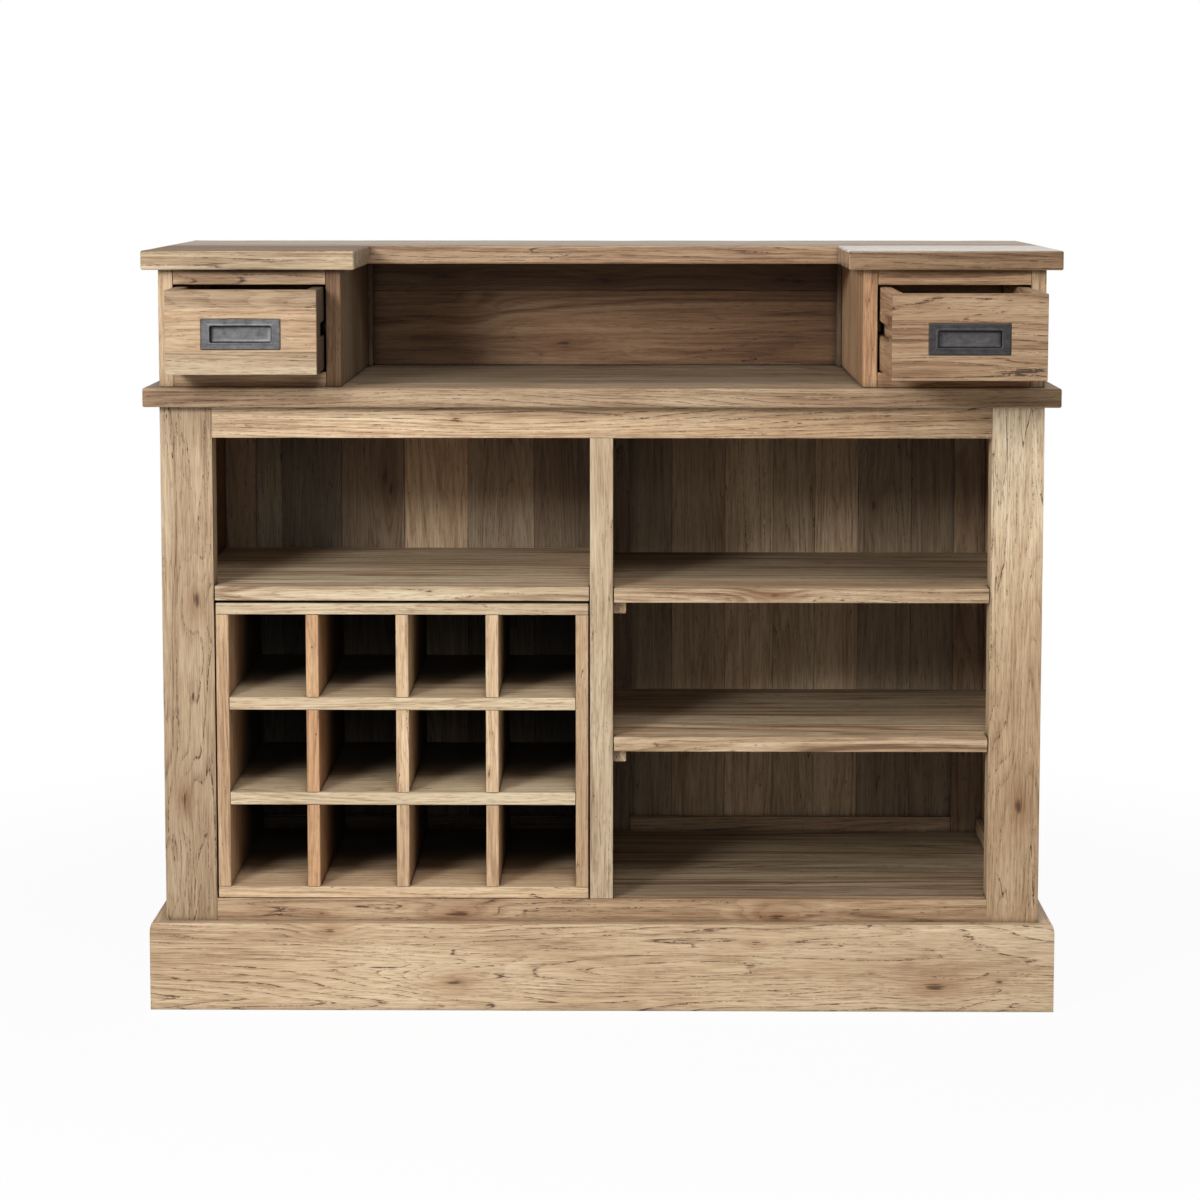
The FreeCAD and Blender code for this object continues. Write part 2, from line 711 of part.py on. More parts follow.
def drawer(name, hand, opened):
    low, high = across(hand, bay_near + s.drawer_gap, bay_far - s.drawer_gap)
    face = front - opened
    face_back = face + s.drawer_front_thickness
    end = box_back - s.drawer_back_gap - opened
    inside = (low + s.drawer_side_thickness, high - s.drawer_side_thickness)
    bottom_low = drawer_height[0] + s.drawer_bottom_lift
    bottom = (bottom_low, bottom_low + s.drawer_bottom_thickness)
    lap = face + s.drawer_front_lap
    middle = (low + high) / 2
    pull_middle = drawer_middle - s.pull_drop

    panel = board(f"{name}_drawer_front", (low, high), (face, face_back), drawer_height)
    for rebate in ((low, inside[0]), (inside[1], high)):
        cut(panel, "side_rebate", rebate, (lap, face_back), drawer_height)
    bottom_groove = widen(bottom, s.fit)
    cut(panel, "bottom_groove", inside, (face_back - s.drawer_bottom_groove, face_back), bottom_groove)
    plate_x = widen((middle - s.pull_length / 2, middle + s.pull_length / 2), s.fit)
    plate_z = widen((pull_middle - s.pull_height / 2, pull_middle + s.pull_height / 2), s.fit)
    cut(panel, "plate_recess", plate_x, (face, face + s.pull_plate - s.pull_proud), plate_z)
    half_cup = s.cup_length / 2 + s.cup_wall
    half_cup_height = s.cup_height / 2 + s.cup_wall
    cut(panel, "cup_recess", widen((middle - half_cup, middle + half_cup), s.fit),
        (face, face + s.cup_depth - s.pull_proud + s.fit),
        widen((pull_middle - half_cup_height, pull_middle + half_cup_height), s.fit))
    keep(panel)

    sides = []
    for place_name, outer_x, inner_x in (("low", low, inside[0]), ("high", high, inside[1])):
        sign = 1 if place_name == "low" else -1
        x = (outer_x, inner_x) if sign > 0 else (inner_x, outer_x)
        cheek = board(f"{name}_drawer_side_{place_name}", x, (lap, end), drawer_height)
        slot_edge = outer_x + s.slide_groove_depth * sign
        slot = (outer_x, slot_edge) if sign > 0 else (slot_edge, outer_x)
        cut(cheek, "slide_groove", slot, (face + s.slide_groove_stop, end), slide_groove)
        groove_edge = inner_x - s.drawer_bottom_groove * sign
        groove = (groove_edge, inner_x) if sign > 0 else (inner_x, groove_edge)
        cut(cheek, "bottom_groove", groove, (lap, end), bottom_groove)
        sides.append(cheek)
    group(f"{name}_drawer_sides", sides)

    keep(board(f"{name}_drawer_back", inside, (end - s.drawer_back_thickness, end),
               (bottom[1], drawer_height[1])))
    let_in = s.drawer_bottom_groove - s.fit
    keep(board(f"{name}_drawer_bottom", widen(inside, let_in), (face_back - let_in, end), bottom))
    recessed_pull(f"{name}_drawer_pull", middle, face, pull_middle)


drawer("left", LEFT, s.left_drawer_open)
drawer("right", RIGHT, s.right_drawer_open)


# Bottle rack: a loose box that slides out of the left bay, its grid housed in stopped grooves

def bottle_rack():
    x = (-front_post_inner + s.rack_side_gap, -s.stile_width / 2 - s.rack_side_gap)
    y = (front, back_panel[0] - s.rack_back_gap)
    housed = (front + s.rack_housing_stop, y[1])
    low = s.floor_height + s.fit
    high = s.left_shelf_height - s.shelf_thickness - s.rack_top_gap
    inside = (x[0] + s.rack_board, x[1] - s.rack_board)
    column = (inside[1] - inside[0] - s.rack_board * (RACK_COLUMNS - 1)) / RACK_COLUMNS
    row = (high - low - s.rack_cap * 2 - s.rack_board * (RACK_ROWS - 1)) / RACK_ROWS
    dividers_x = []
    for number in range(1, RACK_COLUMNS):
        edge = inside[0] + column * number + s.rack_board * (number - 1)
        dividers_x.append((edge, edge + s.rack_board))
    rows_z = []
    for number in range(RACK_ROWS):
        floor = low + s.rack_cap + (row + s.rack_board) * number
        rows_z.append((floor, floor + row))
    shelves_z = [(below[1], above[0]) for below, above in zip(rows_z, rows_z[1:])]
    tongue_length = s.rack_housing - s.fit

    def house_dividers(body, z):
        for span in dividers_x:
            cut(body, "divider_housing", widen(span, s.fit), housed, z)

    top = board("rack_top", x, y, (high - s.rack_cap, high))
    house_dividers(top, (high - s.rack_cap, high - s.rack_cap + s.rack_housing))
    keep(top)
    bottom = board("rack_bottom", x, y, (low, low + s.rack_cap))
    house_dividers(bottom, (low + s.rack_cap - s.rack_housing, low + s.rack_cap))
    keep(bottom)

    upright = (low + s.rack_cap, high - s.rack_cap)
    left_face = (inside[0] - s.rack_housing, inside[0])
    right_face = (inside[1], inside[1] + s.rack_housing)
    for label, span, face in (("rack_side_left", (x[0], inside[0]), left_face),
                              ("rack_side_right", (inside[1], x[1]), right_face)):
        upright_board = board(label, span, y, upright)
        for z in shelves_z:
            cut(upright_board, "shelf_housing", face, housed, widen(z, s.fit))
        keep(upright_board)

    shelf_pieces = []
    for number, z in enumerate(shelves_z, start=1):
        piece = board(f"rack_shelf_{number}", inside, y, z)
        for end in ((inside[0] - tongue_length, inside[0]), (inside[1], inside[1] + tongue_length)):
            add(piece, "tongue", end, housed, z)
        house_dividers(piece, (z[0], z[0] + s.rack_housing))
        house_dividers(piece, (z[1] - s.rack_housing, z[1]))
        shelf_pieces.append(piece)
    group("rack_shelves", shelf_pieces)

    divider_pieces = []
    for level, z in enumerate(rows_z, start=1):
        for number, span in enumerate(dividers_x, start=1):
            piece = board(f"rack_divider_{level}_{number}", span, y, z)
            for end in ((z[0] - tongue_length, z[0]), (z[1], z[1] + tongue_length)):
                add(piece, "tongue", span, housed, end)
            divider_pieces.append(piece)
    group("rack_dividers", divider_pieces)


bottle_rack()


# Build, check and write every node

doc.recompute()

failed = [item.Name for item in doc.Objects if "Invalid" in item.State or "Error" in item.State]
if failed:
    raise RuntimeError(f"objects that did not build: {failed}")
for node in nodes:
    if node.Shape.isNull() or not node.Shape.isValid():
        raise RuntimeError(f"{node.Label} has no valid shape")

os.makedirs("parts", exist_ok=True)
for node in nodes:
    node.Shape.exportStep(f"parts/{node.Label}.step")
print(f"{len(nodes)} nodes, {sum(len(node.Shape.Solids) for node in nodes)} solids")
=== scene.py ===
import json
import math
import random

import bmesh
import bpy
import numpy as np
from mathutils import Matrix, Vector, noise


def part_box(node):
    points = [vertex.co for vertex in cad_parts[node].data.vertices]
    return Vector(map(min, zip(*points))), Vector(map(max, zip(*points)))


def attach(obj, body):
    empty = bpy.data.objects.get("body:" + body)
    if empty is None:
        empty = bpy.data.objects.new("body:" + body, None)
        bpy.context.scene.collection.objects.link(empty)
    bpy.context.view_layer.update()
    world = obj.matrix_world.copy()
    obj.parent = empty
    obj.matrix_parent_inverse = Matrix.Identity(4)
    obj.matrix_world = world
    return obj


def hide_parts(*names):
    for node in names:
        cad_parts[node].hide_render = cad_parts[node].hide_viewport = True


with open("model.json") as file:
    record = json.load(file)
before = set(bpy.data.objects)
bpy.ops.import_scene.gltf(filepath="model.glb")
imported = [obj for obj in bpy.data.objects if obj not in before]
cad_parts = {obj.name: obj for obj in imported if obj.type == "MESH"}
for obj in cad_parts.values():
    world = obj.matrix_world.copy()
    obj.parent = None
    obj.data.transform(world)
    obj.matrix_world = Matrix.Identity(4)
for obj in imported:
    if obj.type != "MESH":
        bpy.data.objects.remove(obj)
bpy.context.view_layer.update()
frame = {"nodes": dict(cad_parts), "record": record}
scene = bpy.context.scene
nodes = frame["nodes"]

X, Y, Z = (1.0, 0.0, 0.0), (0.0, 1.0, 0.0), (0.0, 0.0, 1.0)
PLINTH = ["plinth_" + side for side in ("front", "back", "left", "right")]
RACK = ["rack_" + part for part in ("top", "bottom", "shelves", "dividers", "side_left", "side_right")]
TOP = ["top_" + part for part in ("back_strip", "left_wing", "right_wing")]

# Which way the grain runs in each node's boards, X where it isn't named
GRAIN = {
    "plinth_left": Y, "plinth_right": Y, "left_side_rails": Y, "right_side_rails": Y,
    "floor_joists": Y, "shelf_cleats": Y, "left_box_runners": Y, "right_box_runners": Y,
    "left_drawer_sides": Y, "right_drawer_sides": Y,
    "front_post_left": Z, "front_post_right": Z, "rear_post_left": Z, "rear_post_right": Z,
    "rear_post_center": Z, "center_stile": Z, "left_side_planks": Z, "right_side_planks": Z,
    "back_planks_left": Z, "back_planks_right": Z, "center_partition": Z,
    "left_box_outer_side": Z, "right_box_outer_side": Z, "left_box_inner_side": Z,
    "right_box_inner_side": Z, "niche_corner_battens": Z, "rack_side_left": Z,
    "rack_side_right": Z, "rack_dividers": Z,
}

# How light the boards are and how warm, node by node: one for all, or one for each
# from left to right, front to back, bottom to top, the last for those that are left
PLAIN_TONE = (1.0, 0.0)
TONES = {
    # These tones are partly the wood's own colour and partly painted shade: the boards deep inside the
    # carcass and the boxes (back planks, rear posts and rails, floor boards, upper back boards, the counter's
    # back boards, niche battens, the left box's inner side) are set darker, as the shade there
    "back_planks_left": [(0.45, -0.1), (0.27, -0.05), (0.4, 0.05), (0.9, 0.1), (0.55, 0.0), (0.33, 0.1)],
    "back_planks_right": [(0.4, 0.0), (0.6, 0.0), (0.78, 0.0), (0.6, 0.0), (0.65, 0.0), (0.35, 0.0)],
    "rear_post_left": (0.5, 0.1), "rear_post_center": (0.3, 0.05), "rear_post_right": (0.4, 0.1),
    "rear_bottom_rails": (0.55, 0.1), "center_partition": (0.8, 0.2), "floor_boards": (0.52, -0.05),
    "upper_back_boards": [(0.4, 0.35), (0.27, 0.3)], "niche_corner_battens": (0.27, 0.2),
    "shelf_left": [(0.8, -0.05), (0.76, 0.0)],
    "shelf_right_upper": [(0.72, 0.1), (0.47, 0.0)], "shelf_right_lower": [(0.77, 0.05), (0.53, 0.0)],
    "counter_shelf": [(0.62, 0.12), (0.4, 0.0)], "top_back_strip": [(0.66, 0.15), (0.8, 0.0)],
    "top_left_wing": (0.75, 0.0), "top_right_wing": (0.78, 0.06),
    # Painted shade: the left drawer's right-hand side is set dark (0.12), as it faces away from the key lamp
    "left_drawer_front": (0.65, 0.0), "left_drawer_sides": [(0.55, 0.1), (0.12, 0.25)],
    "right_drawer_front": (0.54, 0.22), "right_drawer_sides": [(0.78, 0.22), (0.7, 0.15)],
    "left_box_inner_side": [(0.31, 0.4), (0.39, 0.0)], "right_box_inner_side": [(0.76, 0.3), (0.9, 0.22)],
    "left_box_outer_side": (0.85, 0.1), "right_box_outer_side": (0.8, 0.12),
    # Painted shade: the drawer backs stand deep inside the boxes and are set dark
    "left_drawer_back": (0.3, 0.1), "right_drawer_back": (0.3, 0.1),
    "left_box_rails": (0.67, 0.15), "right_box_rails": (0.83, 0.2),
    "front_bottom_rail": (0.83, 0.05), "center_stile": (0.77, -0.1), "front_post_left": (0.7, 0.0),
    "rack_dividers": [(0.88, 0.33)] * 3 + [(0.95, 0.1)] * 3 + [(1.05, 0.05)] * 3,
    "rack_shelves": (0.97, -0.12), "rack_top": (0.85, -0.08),
    "rack_side_left": (0.92, 0.14), "rack_side_right": (0.77, 0.16),
}
# Share of the warmth that green loses, where blue loses all of it
GREEN_LOSS = 0.6
# Boards are put in order by the places of their middles, in steps of this many to the metre
ORDER_STEPS = 50
# How far boards of one node differ in level and in warmth
LEVEL_SPREAD = (0.95, 1.05)
WARMTH_SPREAD = (-0.035, 0.035)

# How cracked the boards are, how strongly streaked, and how much painted shade darkens them towards the back
# of the rack
PLAIN_AGE_AND_SHADE = (0.6, 1.0, 0)
AGE_AND_SHADE = {
    "back_planks_left": (0.4, 0.6, 0), "back_planks_right": (0.4, 0.6, 0), "center_stile": (0.4, 0.6, 0),
    "front_post_left": (0.85, 0.7, 0), "front_post_right": (0.6, 0.6, 0),
    "counter_shelf": (1.35, 1.4, 0), "front_top_rail": (1.2, 0.8, 0), "front_bottom_rail": (0.9, 0.9, 0),
    "left_drawer_front": (0.5, 0.85, 0), "right_drawer_front": (1.35, 1.4, 0),
    "right_drawer_sides": (0.8, 1.4, 0), "upper_back_boards": (0.45, 1.6, 0),
    "shelf_left": (0.5, 1.9, 0), "shelf_right_upper": (0.5, 1.9, 0), "shelf_right_lower": (0.5, 1.9, 0),
    "floor_boards": (0.5, 1.7, 0),
}
AGE_AND_SHADE.update({name: (1.05, 0.35, 0) for name in PLINTH})
AGE_AND_SHADE.update({name: (0.15, 0.6, 0.9) for name in RACK})
AGE_AND_SHADE.update({name: (1.2, 1.2, 0) for name in TOP})

# Painted light and shade: faces of a node that look one way are set lighter or darker than its other faces,
# as light falls on them
FACING = {"up": Z, "front": (0.0, -1.0, 0.0), "right": X}
PAINTED_FACE_LIGHT_AND_SHADE = {
    "top_left_wing": {"up": 0.55}, "top_right_wing": {"up": 1.4, "front": 0.53},
    "left_side_planks": {"right": 0.3}, "left_side_rails": {"right": 0.3},
    "counter_shelf": {"up": 1.15}, "shelf_left": {"up": 1.15},
    "shelf_right_upper": {"up": 1.1}, "shelf_right_lower": {"up": 1.1},
}
PAINTED_FACE_LIGHT_AND_SHADE.update({name: {"up": 1.05} for name in RACK})

# Painted light and shade along the front of boards, darker where shadows fall and lighter where the lamps
# reach: axis, places along it, and the tones there
PAINTED_LIGHT_AND_SHADE_FADES = {
    "front_top_rail": (0, (-0.3, 0.3), (1.0, 0.72)), "counter_shelf": (0, (0.45, 0.68), (1.0, 0.6)),
    "front_post_left": (2, (0.15, 0.35), (0.82, 0.98)), "front_post_right": (2, (0.55, 0.92), (0.77, 1.35)),
    "upper_back_boards": (0, (-0.42, -0.39, 0.0, 0.35, 0.39, 0.42), (0.2, 1.0, 1.0, 0.6, 0.6, 0.15)),
    "back_planks_left": (2, (0.72, 0.88), (1.2, 0.7)), "back_planks_right": (2, (0.7, 0.88), (1.1, 0.75)),
}
# A face looks one way when its normal has this much of it, and to the front with this much of Y
THAT_WAY, TO_THE_FRONT = 0.7, -0.5
# A darker tone is also a warmer one: powers for red, green and blue
WARMING = np.array((1.0, 1.25, 1.5))

# Knots: share of the width and of the height of a node's front, and radius in metres
KNOTS = {
    "plinth_front": [(0.2, 0.93, 0.006), (0.34, 0.33, 0.008), (0.67, 0.78, 0.005), (0.87, 0.28, 0.009),
                     (0.94, 0.35, 0.004)],
    "front_bottom_rail": [(0.15, 0.7, 0.003), (0.32, 0.7, 0.008), (0.72, 0.67, 0.007)],
    "front_top_rail": [(0.32, 0.6, 0.005)], "shelf_right_upper": [(0.4, 0.5, 0.006)],
    "upper_back_boards": [(0.3, 0.83, 0.009), (0.5, 0.8, 0.008), (0.72, 0.8, 0.006), (0.74, 0.8, 0.006),
                          (0.45, 0.2, 0.008), (0.42, 0.1, 0.003)],
    "front_post_left": [(0.65, 0.68, 0.007), (0.4, 0.35, 0.007)], "front_post_right": [(0.6, 0.34, 0.009)],
    "back_planks_left": [(0.4, 0.87, 0.01), (0.42, 0.84, 0.006)], "back_planks_right": [(0.75, 0.8, 0.006)],
}
# Knots that are larger than this bend the growth rings, and all are drawn out along the grain
BENDING_RADIUS = 0.005
KNOT_DRAWN_OUT = 0.6
FAR_FROM_KNOTS = 20.0

# Strips that a board is glued up from: lower edge and tone
STRIPS = {"left_drawer_front": [(1.029, (0.74, 0.08)), (1.094, (0.57, 0.08))]}
BELOW_ALL = -1.0
# How polished the upper surfaces are
POLISH = {"top_right_wing": 1.0, "top_back_strip": 0.5}
# Nodes that stand in the dark behind the bottle rack, the height of the rack, and their painted shade there
BEHIND_RACK = ("back_planks_left", "rear_bottom_rails")
RACK_TOP = 0.64
BEHIND_RACK_PAINTED_SHADE = 0.25

# Width of the eased edges and depth of the wear, more on the boards that take the knocks
EDGE, KNOCKED_EDGE = 0.0017, 0.003
WEAR, KNOCKED_WEAR = 0.00045, 0.0008
KNOCKED = ("top_", "counter_", "plinth_")
EDGE_STEPS = 2
# Share of an edge's width at a joint within a slab and at other joints
SLABS = ("top_", "counter_", "shelf_", "floor_")
SLAB_JOINT, OTHER_JOINT = 0.15, 0.5
# Edges that turn by more than this are eased
SHARP_EDGE = 0.35
# Waves per metre of the slow and the quick part of the wear, and their shares
SLOW_WEAR, QUICK_WEAR = (9.0, 0.6), (31.0, 1.1)
QUICK_OFFSET = Vector((5.1, 2.3, 7.7))
# Distance between the cuts across a long board, closer where its painted light and shade fade
CUTS, FADE_CUTS = 0.055, 0.03
CUT_SWAY, CUT_SWAY_RATE = 0.15, 7.0
# Faces lie against each other when they are opposed, this close and cover this share
OPPOSED, CLOSE, COVERED = -0.999, 0.0006, 0.6
NARROWEST_SPAN = 0.001
PLANES_PER_METRE = 500
SAME_POINT = 1e-6
FLAT_ANGLE = math.radians(0.6)


# Boards: every CAD solid, with eased and slightly worn edges

def solids_of(mesh):
    """Split a node's mesh into its closed solids, each a list of rings of points."""
    points = [tuple(round(c, 6) for c in vertex.co) for vertex in mesh.vertices]
    faces, pending = [], {}
    for polygon in mesh.polygons:
        ring = [points[index] for index in polygon.vertices]
        faces.append(ring)
        for a, b in zip(ring, ring[1:] + ring[:1]):
            if (b, a) in pending:
                pending[b, a] -= 1
                if not pending[b, a]:
                    del pending[b, a]
            else:
                pending[a, b] = pending.get((a, b), 0) + 1
        if not pending:
            yield faces
            faces = []


class Face:
    """A flat face's plane and extent, for finding the joints between boards."""

    def __init__(self, face):
        corners = np.array([vertex.co for vertex in face.verts])
        self.normal = np.array(face.normal)
        self.offset = float(corners.mean(0) @ self.normal)
        self.low, self.high = corners.min(0), corners.max(0)

    def covered_by(self, other):
        if self.normal @ other.normal > OPPOSED or abs(self.offset + other.offset) > CLOSE:
            return False
        span = self.high - self.low
        shared = np.minimum(self.high, other.high) - np.maximum(self.low, other.low)
        wide = span > NARROWEST_SPAN
        return bool(np.all(shared[wide] > COVERED * span[wide]))


def rough_boards(node):
    """One bmesh of a node's solids, their faces merged and numbered by board."""
    bm = bmesh.new()
    layer = bm.faces.layers.int.new("board")
    for number, rings in enumerate(solids_of(node.data), start=1):
        made = {}
        for ring in rings:
            for point in ring:
                if point not in made:
                    made[point] = bm.verts.new(point)
            bm.faces.new([made[point] for point in ring])[layer] = number
    bm.normal_update()
    bmesh.ops.dissolve_limit(bm, angle_limit=FLAT_ANGLE, verts=bm.verts, edges=bm.edges, delimit={"MATERIAL"})
    bm.normal_update()
    return bm


def mark_joints(bodies):
    """Number as 1 every face that lies against another board."""
    faces = []
    for name, bm in bodies.items():
        joint, board = bm.faces.layers.int.new("joint"), bm.faces.layers.int["board"]
        for face in bm.faces:
            faces.append((Face(face), face, joint, (name, face[board])))
    groups = {}
    for entry in faces:
        groups.setdefault(round(abs(entry[0].offset) * PLANES_PER_METRE), []).append(entry)
    for step, entries in groups.items():
        near = entries + groups.get(step - 1, []) + groups.get(step + 1, [])
        for plane, face, joint, owner in entries:
            face[joint] = int(any(owner != other[3] and plane.covered_by(other[0]) for other in near))


def cut(bm, point, direction):
    geometry = bm.verts[:] + bm.edges[:] + bm.faces[:]
    bmesh.ops.bisect_plane(bm, geom=geometry, dist=SAME_POINT, plane_co=point, plane_no=direction)


def cut_along(bm, axis, spacing):
    """Cut boards across an axis, so that their long edges can wander a little."""
    direction = Vector(axis)
    reach = [vertex.co @ direction for vertex in bm.verts]
    low, high = min(reach), max(reach)
    count = max(1, round((high - low) / spacing))
    for step in range(1, count):
        swayed = step + CUT_SWAY * math.sin(CUT_SWAY_RATE * step)
        cut(bm, direction * (low + (high - low) * swayed / count), direction)


def eased_mesh(name, bm):
    """Round the free edges well and the joints less, hardly at all inside glued-up slabs."""
    share = SLAB_JOINT if name.startswith(SLABS) else OTHER_JOINT
    weight = bm.edges.layers.float.new("bevel_weight_edge")
    joint = bm.faces.layers.int["joint"]
    bm.normal_update()
    for edge in bm.edges:
        if len(edge.link_faces) == 2 and edge.is_convex and edge.calc_face_angle() > SHARP_EDGE:
            edge[weight] = share if any(face[joint] for face in edge.link_faces) else 1.0
    mesh = bpy.data.meshes.new(name + "_rough")
    bm.to_mesh(mesh)
    bm.free()
    rough = bpy.data.objects.new(name + "_rough", mesh)
    scene.collection.objects.link(rough)
    bevel = rough.modifiers.new("eased", "BEVEL")
    bevel.limit_method = "WEIGHT"
    bevel.width = KNOCKED_EDGE if name.startswith(KNOCKED) else EDGE
    bevel.segments = EDGE_STEPS
    final = bpy.data.meshes.new_from_object(rough.evaluated_get(bpy.context.evaluated_depsgraph_get()))
    bpy.data.objects.remove(rough)
    bpy.data.meshes.remove(mesh)
    return final


def wear(mesh, name):
    """Press vertices in a little, unevenly, as on old hand-planed wood, and keep them in the node's box."""
    depth = KNOCKED_WEAR if name.startswith(KNOCKED) else WEAR
    low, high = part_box(name)
    normals = [vertex.normal.copy() for vertex in mesh.vertices]
    for vertex, normal in zip(mesh.vertices, normals):
        slow = 0.5 + 0.5 * noise.noise(vertex.co * SLOW_WEAR[0])
        quick = max(0.0, noise.noise(vertex.co * QUICK_WEAR[0] + QUICK_OFFSET))
        pressed = vertex.co - normal * depth * (SLOW_WEAR[1] * slow + QUICK_WEAR[1] * quick)
        vertex.co = [min(max(c, least), most) for c, least, most in zip(pressed, low, high)]


def colour_of(level, warmth):
    """Factors for red, green and blue."""
    return np.array((level, level * (1.0 - GREEN_LOSS * warmth), level * (1.0 - warmth)))


def store(mesh, key, kind, domain, values):
    """Keep values on a mesh, where the material reads them."""
    field = "vector" if kind == "FLOAT_VECTOR" else "value"
    attribute = mesh.attributes.new(key, kind, domain)
    attribute.data.foreach_set(field, np.asarray(values, np.float32).ravel())


def paint(mesh, name, seeds):
    """Give every face its board's grain direction, tint with painted light and shade, age with painted shade
    in the rack, polish and place in the wood.
    """
    board = np.zeros(len(mesh.polygons), np.int32)
    mesh.attributes["board"].data.foreach_get("value", board)
    centres = np.array([polygon.center for polygon in mesh.polygons])
    normals = np.array([polygon.normal for polygon in mesh.polygons])
    numbers = range(1, int(board.max()) + 1)
    middle = {n: (centres[board == n].max(0) + centres[board == n].min(0)) / 2 for n in numbers}
    tint, seed = np.ones((len(board), 3)), np.zeros((len(board), 3))
    tones = TONES.get(name, PLAIN_TONE)
    tones = tones if isinstance(tones, list) else [tones]
    in_order = sorted(numbers, key=lambda n: [round(c * ORDER_STEPS) for c in middle[n]])
    for index, number in enumerate(in_order):
        for low, tone in [(BELOW_ALL, tones[min(index, len(tones) - 1)]), *STRIPS.get(name, ())]:
            chosen = (board == number) & (centres[:, 2] > low)
            warm = seeds.uniform(*WARMTH_SPREAD)
            tint[chosen] = colour_of(*tone) * colour_of(seeds.uniform(*LEVEL_SPREAD), warm)
            seed[chosen] = [seeds.uniform(0, 1) for _ in range(3)]
    # Painted light and shade: faces that look up, to the front or to the right are set lighter or darker
    for side, tone in PAINTED_FACE_LIGHT_AND_SHADE.get(name, {}).items():
        tint[normals @ np.array(FACING[side]) > THAT_WAY] *= tone ** WARMING
    front = normals[:, 1] < TO_THE_FRONT
    # Painted shade: fronts behind the bottle rack are darkened
    if name in BEHIND_RACK:
        tint[front & (centres[:, 0] < 0.0) & (centres[:, 2] < RACK_TOP)] *= BEHIND_RACK_PAINTED_SHADE

    # The tint is kept at the corners of the faces, so that its painted light and shade can change along a
    # board
    sizes = [polygon.loop_total for polygon in mesh.polygons]
    tint = np.repeat(tint, sizes, axis=0)
    # Painted light and shade along the board's front faces
    if name in PAINTED_LIGHT_AND_SHADE_FADES:
        axis, places, levels = PAINTED_LIGHT_AND_SHADE_FADES[name]
        along = np.array([mesh.vertices[corner.vertex_index].co[axis] for corner in mesh.loops])
        painted_fade = np.interp(along, places, levels)[:, None] ** WARMING
        tint = np.where(np.repeat(front, sizes)[:, None], tint * painted_fade, tint)
    store(mesh, "tint", "FLOAT_VECTOR", "CORNER", tint)
    store(mesh, "seed", "FLOAT_VECTOR", "FACE", seed)
    store(mesh, "grain", "FLOAT_VECTOR", "FACE", np.tile(GRAIN.get(name, X), (len(board), 1)))
    store(mesh, "age_and_shade", "FLOAT_VECTOR", "FACE", np.tile(AGE_AND_SHADE.get(name, PLAIN_AGE_AND_SHADE), (len(board), 1)))
    store(mesh, "polish", "FLOAT", "FACE", np.full(len(board), POLISH.get(name, 0.0)))


# Node helpers for the materials

class Graph:
    """Short ways to add and link shader nodes."""

    def __init__(self, owner):
        owner.use_nodes = True
        self.tree = owner.node_tree

    def add(self, kind, inputs=(), **settings):
        node = self.tree.nodes.new("ShaderNode" + kind)
        for key, value in settings.items():
            setattr(node, key, value)
        for key, value in dict(inputs).items():
            self.set(node.inputs[key], value)
        return node

    def set(self, socket, value):
        if isinstance(value, bpy.types.NodeSocket):
            self.tree.links.new(value, socket)
        else:
            socket.default_value = value

    def math(self, operation, a, b=0.0, c=0.0):
        return self.add("Math", {0: a, 1: b, 2: c}, operation=operation).outputs[0]

    def times(self, a, b):
        return self.math("MULTIPLY", a, b)

    def vector(self, operation, a, b=(0, 0, 0), scale=1.0, out="Vector"):
        node = self.add("VectorMath", operation=operation)
        self.set(node.inputs[0], a)
        if operation == "SCALE":
            self.set(node.inputs["Scale"], scale)
        else:
            self.set(node.inputs[1], b)
        return node.outputs[out]

    def part(self, vector, axis):
        return self.add("SeparateXYZ", {"Vector": vector}).outputs[axis]

    def attribute(self, name, out="Vector"):
        return self.add("Attribute", attribute_name=name).outputs[out]

    def noise(self, vector, detail=2.0, roughness=0.5, distortion=0.0):
        node = self.add("TexNoise", {"Vector": vector, "Scale": 1.0, "Detail": detail,
                                     "Roughness": roughness, "Distortion": distortion})
        return node.outputs["Fac"]

    def spots(self, vector, channel, least):
        """Distance to scattered points, and 1 round the few whose random channel passes least."""
        node = self.add("TexVoronoi", {"Vector": vector, "Scale": 1.0, "Randomness": 1.0})
        draw = self.add("SeparateColor", {"Color": node.outputs["Color"]}).outputs[channel]
        return node.outputs["Distance"], self.above(draw, least, least + 0.01)

    def above(self, value, low, high):
        """0 below low, 1 above high."""
        node = self.add("MapRange", {"Value": value, "From Min": low, "From Max": high})
        node.interpolation_type = "SMOOTHSTEP"
        return node.outputs["Result"]

    def below(self, value, low, high):
        """1 below low, 0 above high."""
        return self.math("SUBTRACT", 1.0, self.above(value, low, high))

    def line(self, value, level, core, edge):
        """1 where a value is near a level."""
        return self.below(self.math("ABSOLUTE", self.math("SUBTRACT", value, level)), core, edge)

    def mix(self, factor, a, b, blend="MIX"):
        node = self.add("Mix", data_type="RGBA", blend_type=blend)
        self.set(node.inputs["Factor"], factor)
        self.set(node.inputs["A"], a)
        self.set(node.inputs["B"], b)
        return node.outputs["Result"]

    def ramp(self, factor, stops):
        node = self.add("ValToRGB", {"Fac": factor})
        elements = node.color_ramp.elements
        while len(elements) < len(stops):
            elements.new(0.5)
        for element, (position, colour) in zip(elements, stops):
            element.position = position
            element.color = (*colour, 1.0)
        return node.outputs["Color"]

    def bump(self, height, strength, distance):
        node = self.add("Bump", {"Height": height, "Strength": strength, "Distance": distance})
        return node.outputs["Normal"]


def linear(value):
    """Linear share of an 8-bit display value."""
    share = value / 255
    return share / 12.92 if value < 10.3 else ((share + 0.055) / 1.055) ** 2.4


def rgb(red, green, blue):
    return linear(red), linear(green), linear(blue)


